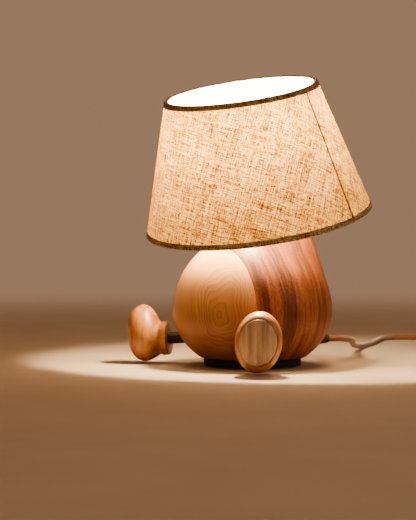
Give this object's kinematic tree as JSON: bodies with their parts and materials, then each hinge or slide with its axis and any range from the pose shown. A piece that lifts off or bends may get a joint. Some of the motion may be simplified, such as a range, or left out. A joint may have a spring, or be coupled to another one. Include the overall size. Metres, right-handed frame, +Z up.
{
  "type": "table lamp",
  "caption": "Seated wooden figure table lamp: round two-tone body, stub legs with turning feet, conical linen shade as a head that nods and turns, textile cord",
  "frame": {"origin": "centre of the base felt's underside, on the table", "axes": "+Z up, the belly faces -Y, +X is the figure's left; metres"},
  "size_m": [0.3431, 0.5314, 0.294],
  "materials": {
    "maple": "satin oiled pale maple",
    "walnut": "satin oiled dark red-brown hardwood with straight stripes",
    "beech": "satin oiled warm beech",
    "sole_wood": "satin pale end face",
    "dowel_wood": "raw beech dowel",
    "black_dowel": "black stained dowel",
    "black_disc": "black powder coat, coarse",
    "felt": "black felt",
    "steel": "zinc plated steel",
    "black_metal": "satin black",
    "bakelite": "black moulded plastic",
    "porcelain": "glazed porcelain",
    "brass": "plain brass",
    "nickel": "nickel plated",
    "glass": "clear glass",
    "filament": "phosphor coated, glows warm",
    "white_wire": "white enamel",
    "liner": "translucent lampshade film",
    "linen": "natural slubby linen",
    "hem_tape": "folded linen edge, dark against the light",
    "nylon": "natural nylon",
    "wire_sleeve": "insulated wire",
    "textile_cable": "brown braided sleeve",
    "dark_plastic": "dark brown moulded plastic",
    "tie": "hook and loop strap"
  },
  "bodies": {
    "base": {"belly_front": "maple", "body_back": "walnut", "seam_dowels": "dowel_wood", "base_disc": "black_disc", "felt_pad": "felt", "base_screws": "steel", "leg_left": "black_dowel", "leg_right": "black_dowel", "foot_washers": "steel", "foot_screws": "steel", "neck_tube": "steel", "tube_washer": "steel", "tube_nut": "steel", "neck_plate": "black_metal", "terminal_block": "nylon", "lamp_wires": "wire_sleeve", "cord_gland": "dark_plastic", "cord_clamp": "nylon", "clamp_screws": "steel", "cord_lead": "textile_cable", "switch_base": "dark_plastic", "switch_cover": "dark_plastic", "cord_link": "textile_cable", "cord_coil": "textile_cable", "coil_tie": "tie", "cord_tail": "textile_cable", "plug_body": "dark_plastic", "plug_pins": "nickel"},
    "foot_l": {"foot_left": "beech", "sole_left": "sole_wood"},
    "foot_r": {"foot_right": "beech", "sole_right": "sole_wood"},
    "fork": {"knuckle_fork": "black_metal", "knuckle_bolt": "steel", "knuckle_nut": "steel"},
    "head": {"knuckle_tongue": "black_metal", "holder_cap": "bakelite", "holder_skirt": "bakelite", "holder_core": "porcelain", "holder_thread": "brass", "holder_contact": "brass", "ring_lower": "bakelite", "ring_upper": "bakelite", "bulb_cap": "nickel", "bulb_glass": "glass", "bulb_stem": "glass", "bulb_filaments": "filament", "shade_carrier": "white_wire", "rim_wire_lower": "white_wire", "rim_wire_upper": "white_wire", "shade_liner": "liner", "shade_linen": "linen", "hem_lower": "hem_tape", "hem_upper": "hem_tape"},
    "rocker": {"switch_rocker": "dark_plastic"}
  },
  "joints": [
    {"name": "head_turn", "type": "hinge", "parent": "base", "child": "fork", "pos_m": [0, 0.0075, 0.14], "axis": [0, 0, 1], "range_deg": [-60, 60]},
    {"name": "head_nod", "type": "hinge", "parent": "fork", "child": "head", "pos_m": [0, 0.0075, 0.148], "axis": [0.9205, 0.3907, 0], "range_deg": [-20, 15]},
    {"name": "foot_left_turn", "type": "hinge", "parent": "base", "child": "foot_l", "pos_m": [0.08218, -0.05621, 0.02543], "axis": [0.7471, -0.661, -0.0698], "range_deg": [-30, 30]},
    {"name": "foot_right_turn", "type": "hinge", "parent": "base", "child": "foot_r", "pos_m": [-0.08218, -0.05621, 0.02543], "axis": [-0.7471, -0.661, -0.0698], "range_deg": [-30, 30]},
    {"name": "rocker_tip", "type": "hinge", "parent": "base", "child": "rocker", "pos_m": [-0.111, 0.377, 0.0145], "axis": [-0.6088, -0.7934, 0], "range_deg": [0, 19]}
  ]
}
